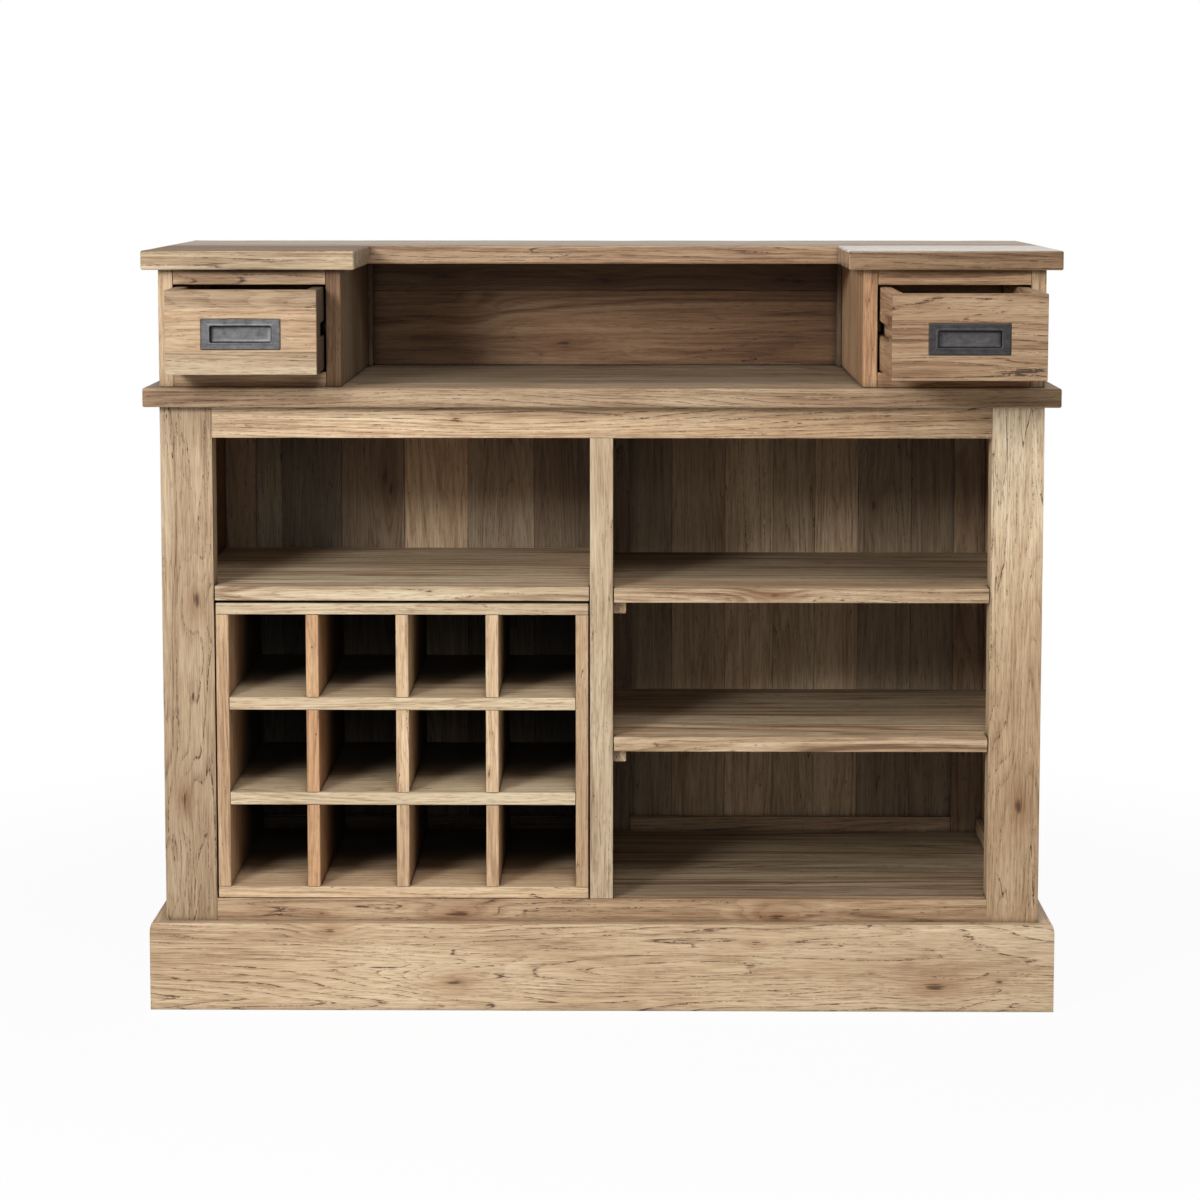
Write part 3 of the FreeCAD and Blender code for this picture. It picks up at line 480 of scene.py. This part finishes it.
def new_material(name):
    """A material's graph and its main shader's inputs."""
    material = bpy.data.materials.new(name)
    g = Graph(material)
    return material, g, g.tree.nodes["Principled BSDF"].inputs


# Reclaimed teak

# Waves per metre across and along the grain, and an offset that keeps the noises apart
WAVES = {
    "knot": (7.0, 3.4, 3.0), "pin": (24.0, 15.0, 4.0), "hair": (460.0, 20.0, 23.0), "figure": (8.0, 0.5, 0.0),
    "fibre": (380.0, 15.0, 1.0), "streak": (75.0, 2.0, 5.0), "slow": (9.0, 2.4, 7.0),
    "pore": (620.0, 48.0, 19.0), "patch": (11.0, 2.6, 17.0), "dash": (330.0, 90.0, 13.0),
    "split": (30.0, 1.3, 11.0),
}
OFFSETS = (1.0, 1.7, 0.6)
SEED_SHIFT = 61.0
# Growth rings per metre in each direction, and how far the figure and the knots bend them
RINGS = (62.0, 80.0, 112.0)
FIGURE_BEND, KNOT_BEND = 46.0, 1.8
SPECKS_PER_METRE = 150.0
# Reach of the painted shade in the corners
CORNER_SHADE_REACH = 0.014
# How far back the painted shade inside the rack starts, and where it is full
DARK_FROM, DARK_AT = -0.25, 0.0
WOOD_RAMP = [(0.33, rgb(128, 98, 71)), (0.46, rgb(174, 144, 112)), (0.57, rgb(201, 173, 139)),
             (0.74, rgb(226, 203, 169))]
# Colour and strength of everything that marks the wood, and of the painted shade in corners and deep in the
# rack
STAINS_AND_PAINTED_SHADE = {
    "fleck": (rgb(104, 76, 53), 0.38), "halo": (rgb(150, 112, 78), 0.3), "warm": (rgb(148, 102, 64), 0.4),
    "knot": (rgb(66, 43, 29), 0.85), "pin": (rgb(62, 42, 30), 0.75), "crack": (rgb(66, 45, 31), 0.88),
    "dust": (rgb(214, 200, 176), 0.6), "corner_shade": (rgb(46, 33, 24), 0.85), "inner": (rgb(40, 30, 22), 1.0),
}
WOOD_SPECULAR = 0.3
FIBRE_RELIEF = (0.3, 0.0005)


def knot_distance(g, place, grain, along):
    """Distance in radii to the nearest placed knot, of all and of those that bend the rings."""
    squeezed = g.vector("SUBTRACT", place, g.vector("SCALE", grain, scale=g.times(along, KNOT_DRAWN_OUT)))
    near = around = FAR_FROM_KNOTS
    for name, spots in KNOTS.items():
        low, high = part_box(name)
        for across, up, radius in spots:
            spot = (low[0] + across * (high[0] - low[0]), low[1], low[2] + up * (high[2] - low[2]))
            centre = [c * (1.0 - KNOT_DRAWN_OUT * a) for c, a in zip(spot, GRAIN.get(name, X))]
            far = g.times(g.vector("DISTANCE", squeezed, centre, out="Value"), 1.0 / radius)
            near = g.math("MINIMUM", near, far)
            if radius > BENDING_RADIUS:
                around = g.math("MINIMUM", around, far)
    return near, around


def teak_material():
    material, g, shader = new_material("reclaimed_teak")
    place = g.add("TexCoord").outputs["Object"]
    grain = g.attribute("grain")
    age_and_shade = g.attribute("age_and_shade")
    cracked, streaked, inner = (g.part(age_and_shade, axis) for axis in "XYZ")
    along = g.vector("DOT_PRODUCT", place, grain, out="Value")
    shift = g.vector("SCALE", g.attribute("seed"), scale=SEED_SHIFT)
    # Painted shade: the wood inside the rack darkens towards the back
    marks = {"inner": g.times(g.above(g.part(place, "Y"), DARK_FROM, DARK_AT), inner)}

    def stretched(key):
        """Coordinates of a noise, drawn out along the grain."""
        across, lengthwise, extra = WAVES[key]
        wide = g.vector("SCALE", place, scale=across)
        length = g.vector("SCALE", grain, scale=g.times(along, lengthwise - across))
        moved = g.vector("ADD", g.vector("ADD", wide, length), shift)
        return g.vector("ADD", moved, [extra * share for share in OFFSETS])

    # Knots, placed and scattered, with frayed edges, and pin knots
    hair = g.noise(stretched("hair"), detail=2.0, roughness=0.6)
    near, around = knot_distance(g, place, grain, along)
    frayed = g.math("MULTIPLY_ADD", g.math("SUBTRACT", hair, 0.47), 3.4, near)
    apart, chosen = g.spots(stretched("knot"), 0, 0.86)
    scattered = g.times(chosen, g.below(apart, 0.015, 0.07))
    marks["knot"] = g.math("MAXIMUM", scattered, g.below(frayed, 0.25, 0.8))
    halo = g.math("MAXIMUM", g.times(chosen, g.below(apart, 0.03, 0.30)), g.below(around, 0.3, 5.5))
    marks["halo"] = halo
    marks["warm"] = g.below(near, 0.5, 2.4)
    apart, chosen = g.spots(stretched("pin"), 0, 0.92)
    marks["pin"] = g.times(chosen, g.below(apart, 0.02, 0.055))

    # Growth rings: long flame-shaped contours, bent round the knots, each with a tone of its own
    figure = g.noise(stretched("figure"), detail=3.0, roughness=0.4, distortion=0.12)
    sideways = g.vector("SUBTRACT", place, g.vector("SCALE", grain, scale=along))
    across = g.vector("DOT_PRODUCT", sideways, RINGS, out="Value")
    phase = g.math("ADD", g.math("MULTIPLY_ADD", figure, FIGURE_BEND, across), g.times(halo, KNOT_BEND))
    ring = g.math("FRACT", phase)
    late = g.times(g.above(ring, 0.25, 0.93), g.below(ring, 0.94, 1.0))
    band = g.add("TexNoise", {"W": g.times(phase, 0.55), "Scale": 1.0, "Detail": 2.0}, noise_dimensions="1D")

    # Fibre, streaks and the slow change of tone over a board, with open pores as short dark flecks
    fibre = g.noise(stretched("fibre"), detail=4.0, roughness=0.68)
    streak = g.noise(stretched("streak"), detail=3.0, roughness=0.6)
    slow = g.noise(stretched("slow"), detail=3.0)
    pore = g.noise(stretched("pore"), detail=1.0)
    porous = g.above(g.math("MULTIPLY_ADD", late, 0.25, slow), 0.38, 0.62)
    marks["fleck"] = g.times(g.above(pore, 0.56, 0.68), porous)

    # Drying cracks: thin broken lines along the rings, gathered in patches, and a few long splits
    patch = g.noise(stretched("patch"), detail=2.0)
    dash = g.noise(stretched("dash"), detail=2.0, roughness=0.75)
    gathered = g.math("MULTIPLY_ADD", patch, 0.9, g.math("MULTIPLY_ADD", cracked, 0.32, -0.32))
    where = g.above(g.math("MULTIPLY_ADD", dash, 1.7, gathered), 1.27, 1.36)
    split_line = g.noise(stretched("split"), detail=2.0, roughness=0.4)
    broken = g.above(g.math("MULTIPLY_ADD", slow, 0.9, dash), 0.95, 1.02)
    split = g.times(g.line(split_line, 0.57, 0.0006, 0.0035), broken)
    thin = g.times(g.line(ring, 0.9, 0.02, 0.075), g.above(hair, 0.38, 0.5))
    dashes = g.times(g.line(ring, 0.84, 0.045, 0.2), g.above(hair, 0.57, 0.63))
    crack = g.times(g.math("MAXIMUM", thin, dashes), where)
    off_knots = g.math("SUBTRACT", 1.0, g.times(g.above(halo, 0.3, 0.75), 0.9))
    marks["crack"] = g.math("MAXIMUM", g.times(crack, off_knots), split)

    # Dust on the upper faces, and painted shade in the corners from ambient occlusion
    apart, few = g.spots(g.vector("SCALE", place, scale=SPECKS_PER_METRE), 1, 0.9)
    upward = g.part(g.add("NewGeometry").outputs["True Normal"], "Z")
    dusty = g.times(g.above(upward, 0.7, 0.8), g.above(patch, 0.55, 0.66))
    marks["dust"] = g.times(g.times(few, g.below(apart, 0.06, 0.16)), dusty)
    corner_shade = g.add("AmbientOcclusion", {"Distance": CORNER_SHADE_REACH}, samples=3).outputs["AO"]
    marks["corner_shade"] = g.below(corner_shade, 0.2, 0.8)

    swing = g.math("ADD", g.times(streak, 0.42), g.times(band.outputs["Fac"], 0.34))
    swing = g.times(g.math("SUBTRACT", swing, 0.38), streaked)
    tone = g.math("ADD", g.math("MULTIPLY_ADD", fibre, 0.62, -0.1), g.math("MULTIPLY_ADD", slow, 0.36, swing))
    tone = g.math("SUBTRACT", g.math("ADD", tone, 0.18), g.times(late, 0.06))
    colour = g.ramp(tone, WOOD_RAMP)
    for key, (stain, strength) in STAINS_AND_PAINTED_SHADE.items():
        colour = g.mix(g.times(marks[key], strength), colour, (*stain, 1.0))
    g.set(shader["Base Color"], g.mix(1.0, colour, g.attribute("tint", "Color"), blend="MULTIPLY"))
    matt = g.math("MULTIPLY_ADD", fibre, 0.25, 0.5)
    g.set(shader["Roughness"], g.math("MULTIPLY_ADD", g.attribute("polish", "Fac"), -0.4, matt))
    shader["Specular IOR Level"].default_value = WOOD_SPECULAR
    g.set(shader["Normal"], g.bump(fibre, *FIBRE_RELIEF))
    return material


# Dress every wooden node

teak = teak_material()
body_of = {node: body for body, members in frame["record"]["behaviour"]["bodies"].items() for node in members}
wooden = sorted(name for name in nodes if not name.endswith("_pull"))
rough = {name: rough_boards(nodes[name]) for name in wooden}
mark_joints(rough)
for index, name in enumerate(wooden):
    cut_along(rough[name], GRAIN.get(name, X), FADE_CUTS if name in PAINTED_LIGHT_AND_SHADE_FADES else CUTS)
    for height, _ in STRIPS.get(name, ()):
        cut(rough[name], Vector((0.0, 0.0, height)), Vector(Z))
    mesh = eased_mesh(name, rough[name])
    wear(mesh, name)
    paint(mesh, name, random.Random(index * 7 + 3))
    mesh.materials.clear()
    mesh.materials.append(teak)
    for polygon in mesh.polygons:
        polygon.material_index = 0
    mesh.name = name + "_wood"
    boards = bpy.data.objects.new(name + "_wood", mesh)
    scene.collection.objects.link(boards)
    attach(boards, body_of[name])
    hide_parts(name)


# Recessed pulls: bevelled plate, raised lip, straight walls and a dished floor

# Rounded rectangles from the back to the front and down to the floor, in millimetres:
# half width, half height, corner radius, depth behind the lip, and the painted light and shade of the metal
# there
PULL_PLATE = [
    (46.3, 13.0, 2.6, 12.0, 0.6), (47.2, 13.7, 3.2, 11.2, 0.6), (47.3, 13.8, 3.2, 2.0, 0.6),
    (58.9, 22.4, 0.9, 2.0, 0.6), (59.4, 22.9, 1.1, 1.4, 0.6), (59.2, 22.7, 1.1, 0.8, 0.85),
    (58.2, 21.7, 0.9, 0.3, 1.0), (49.6, 16.0, 3.8, 0.34, 1.0), (49.0, 15.4, 3.8, 0.12, 1.1),
    (48.4, 14.8, 3.6, 0.02, 1.2), (47.2, 13.6, 3.2, 0.0, 1.1), (46.3, 12.8, 3.1, 0.35, 0.8),
    (46.0, 12.5, 3.0, 1.2, 0.45), (45.9, 12.4, 3.0, 8.3, 0.3), (45.4, 11.9, 2.8, 9.5, 0.3),
]
PULL_FLOOR = [
    (44.3, 10.8, 2.4, 10.3, 0.4), (42.5, 9.0, 2.0, 10.5, 0.65), (38.0, 7.6, 1.8, 10.6, 0.95),
    (31.0, 6.0, 1.4, 10.65, 1.0),
]
# Rows of the walls of the recess, and how much brighter its lower wall is painted, a painted highlight
PULL_WALLS = range(12, 17)
LOWER_WALL_PAINTED_LIGHT = 0.7
CORNER_STEPS = 6
SMOOTH_TURN = 0.3
METAL = 0.75
METAL_RELIEF = (0.3, 0.0003)
# Waves per metre of the mottling, and of the brushing in each direction
MOTTLES, BRUSHING = 90.0, (60.0, 60.0, 900.0)


def metal_material(name, dark, pale):
    """Blackened metal, times the painted light and shade of the casting: darker on the walls of the recess,
    lighter on its floor.
    """
    material, g, shader = new_material(name)
    place = g.add("TexCoord").outputs["Object"]
    mottled = g.noise(g.vector("SCALE", place, scale=MOTTLES), detail=5.0, roughness=0.65)
    brushed = g.noise(g.vector("MULTIPLY", place, BRUSHING), detail=2.0)
    tone = g.math("ADD", g.times(mottled, 0.7), g.times(brushed, 0.3))
    colour = g.ramp(tone, [(0.32, dark), (0.68, pale)])
    g.set(shader["Base Color"], g.mix(1.0, colour, g.attribute("shade", "Color"), blend="MULTIPLY"))
    g.set(shader["Roughness"], g.math("ADD", 0.36, g.times(mottled, 0.25)))
    shader["Metallic"].default_value = METAL
    g.set(shader["Normal"], g.bump(tone, *METAL_RELIEF))
    return material


def loop(half_width, half_height, radius, depth):
    """Points of a rounded rectangle, at a depth behind the plate's lip."""
    points = []
    for x, z, first in ((1, 1, 0), (-1, 1, 90), (-1, -1, 180), (1, -1, 270)):
        for step in range(CORNER_STEPS + 1):
            angle = math.radians(first + 90 / CORNER_STEPS * step)
            points.append((x * (half_width - radius) + radius * math.cos(angle), depth,
                           z * (half_height - radius) + radius * math.sin(angle)))
    return points


def make_pull(name, metal, floor, lit):
    """A pull whose floor and right-hand wall get painted light and shade of given strengths against its
    plate.
    """
    low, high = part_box(name)
    centre = ((low[0] + high[0]) / 2, low[1], (low[2] + high[2]) / 2)
    rows = PULL_PLATE + [(*sizes, shade * floor) for *sizes, shade in PULL_FLOOR]
    bm = bmesh.new()
    rings, shades = [], []
    for number, (*sizes, shade) in enumerate(rows):
        points = loop(*sizes)
        rings.append([bm.verts.new([c + p / 1000 for c, p in zip(centre, point)]) for point in points])
        # Painted light and shade: the lower wall of the recess is set lighter, and the right-hand wall
        # lighter or darker as lit asks
        for x, _, z in points:
            right, below = max(0.0, x / sizes[0]) ** 4, max(0.0, -z / sizes[1]) ** 4
            brighter = right * (lit - 1.0) + below * LOWER_WALL_PAINTED_LIGHT if number in PULL_WALLS else 0.0
            shades.append(shade * (1.0 + brighter))
    for inner, outer in zip(rings, rings[1:]):
        for index in range(len(inner)):
            after = (index + 1) % len(inner)
            bm.faces.new((inner[index], inner[after], outer[after], outer[index]))
    bm.faces.new(rings[0][::-1])
    bm.faces.new(rings[-1])
    bmesh.ops.recalc_face_normals(bm, faces=bm.faces)
    mesh = bpy.data.meshes.new(name + "_cast")
    bm.to_mesh(mesh)
    bm.free()
    for polygon in mesh.polygons:
        polygon.use_smooth = True
    mesh.set_sharp_from_angle(angle=SMOOTH_TURN)
    mesh.materials.append(metal)
    store(mesh, "shade", "FLOAT", "POINT", shades)
    pull = bpy.data.objects.new(name + "_cast", mesh)
    scene.collection.objects.link(pull)
    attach(pull, body_of[name])
    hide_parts(name)


# Painted shade: the right pull takes a darker copy of the same metal
pale_metal = metal_material("blackened_metal", rgb(52, 51, 52), rgb(98, 97, 98))
dark_metal = metal_material("blackened_metal_dark", rgb(35, 34, 34), rgb(66, 64, 65))
make_pull("left_drawer_pull", pale_metal, floor=1.1, lit=2.2)
make_pull("right_drawer_pull", dark_metal, floor=1.8, lit=0.8)


# Stage: pale floor, white surroundings, soft studio lamps

FLOOR_SIZE = 40.0
FLOOR_GREY, FLOOR_ROUGHNESS = 0.8, 0.9
# Share of plain white that the camera sees in the floor, near the object and away from it
NEAR_WHITE, AWAY_WHITE = 0.95, 1.0
NEAR, AWAY = 0.9, 2.2
# Strength of the surroundings where they light the object
WORLD_LIGHT = 0.08
WHITE = (1.0, 1.0, 1.0, 1.0)
SENSOR_WIDTH = 36.0


def seen_directly(g):
    """1 for camera, mirror and glass rays, which see plain white."""
    rays = g.add("LightPath")
    first = g.math("MAXIMUM", rays.outputs["Is Camera Ray"], rays.outputs["Is Glossy Ray"])
    return g.math("MAXIMUM", first, rays.outputs["Is Transmission Ray"])


def make_floor():
    bpy.ops.mesh.primitive_plane_add(size=FLOOR_SIZE, location=(0.0, 0.0, 0.0))
    floor = bpy.context.object
    floor.name = "studio_floor"
    material, g, shader = new_material("pale_floor")
    shader["Base Color"].default_value = (FLOOR_GREY, FLOOR_GREY, FLOOR_GREY, 1.0)
    shader["Roughness"].default_value = FLOOR_ROUGHNESS
    shader["Specular IOR Level"].default_value = 0.0
    place = g.add("TexCoord").outputs["Object"]
    away = g.above(g.vector("LENGTH", place, out="Value"), NEAR, AWAY)
    white = g.add("Emission", {"Color": WHITE, "Strength": 1.0}).outputs[0]
    share = g.times(seen_directly(g), g.math("MULTIPLY_ADD", away, AWAY_WHITE - NEAR_WHITE, NEAR_WHITE))
    lit = g.tree.nodes["Principled BSDF"].outputs[0]
    mixed = g.add("MixShader", {0: share, 1: lit, 2: white}).outputs[0]
    g.set(g.tree.nodes["Material Output"].inputs["Surface"], mixed)
    floor.data.materials.append(material)


def make_world():
    scene.world = bpy.data.worlds.new("studio")
    g = Graph(scene.world)
    background = g.tree.nodes["Background"]
    background.inputs["Color"].default_value = WHITE
    strength = g.math("MULTIPLY_ADD", seen_directly(g), 1.0 - WORLD_LIGHT, WORLD_LIGHT)
    g.set(background.inputs["Strength"], strength)


def aim(thing, place, target):
    thing.location = place
    thing.rotation_euler = (Vector(target) - Vector(place)).to_track_quat("-Z", "Y").to_euler()
    scene.collection.objects.link(thing)


def lamp(name, place, target, size, power, spread=180.0):
    data = bpy.data.lights.new(name, "AREA")
    data.shape = "RECTANGLE"
    data.size, data.size_y = size
    data.energy = power
    data.spread = math.radians(spread)
    aim(bpy.data.objects.new(name, data), place, target)


def make_camera(place, target, lens, shift):
    data = bpy.data.cameras.new("camera")
    data.sensor_fit = "HORIZONTAL"
    data.sensor_width = SENSOR_WIDTH
    data.lens = lens
    data.shift_y = shift
    scene.camera = bpy.data.objects.new("camera", data)
    aim(scene.camera, place, target)


scene.view_settings.view_transform = "Standard"
make_floor()
make_world()
lamp("key", (-1.75, -3.5, 2.2), (0.0, 0.0, 0.55), size=(0.9, 0.9), power=110.0)
lamp("front_fill", (0.35, -2.9, 3.4), (0.35, 0.0, 0.6), size=(1.2, 1.0), power=52.0)
lamp("lens_fill", (0.05, -5.4, 1.7), (0.0, 0.0, 0.6), size=(1.6, 1.2), power=20.0)
# Two low lamps light the back and the right side, and leave the front and the top as they are
lamp("back_fill", (0.5, 3.6, 0.55), (0.0, 0.3, 0.55), size=(1.8, 0.9), power=28.0)
lamp("side_fill", (3.4, 0.5, 0.55), (0.7, 0.0, 0.55), size=(0.9, 0.9), power=16.0)
lamp("rim", (2.3, 2.2, 1.75), (0.65, 0.0, 1.18), size=(0.8, 0.8), power=0.35, spread=30.0)
make_camera((0.0525, -5.155, 1.317), (-0.0054, 0.0, 0.7976), lens=96.0, shift=-0.1)
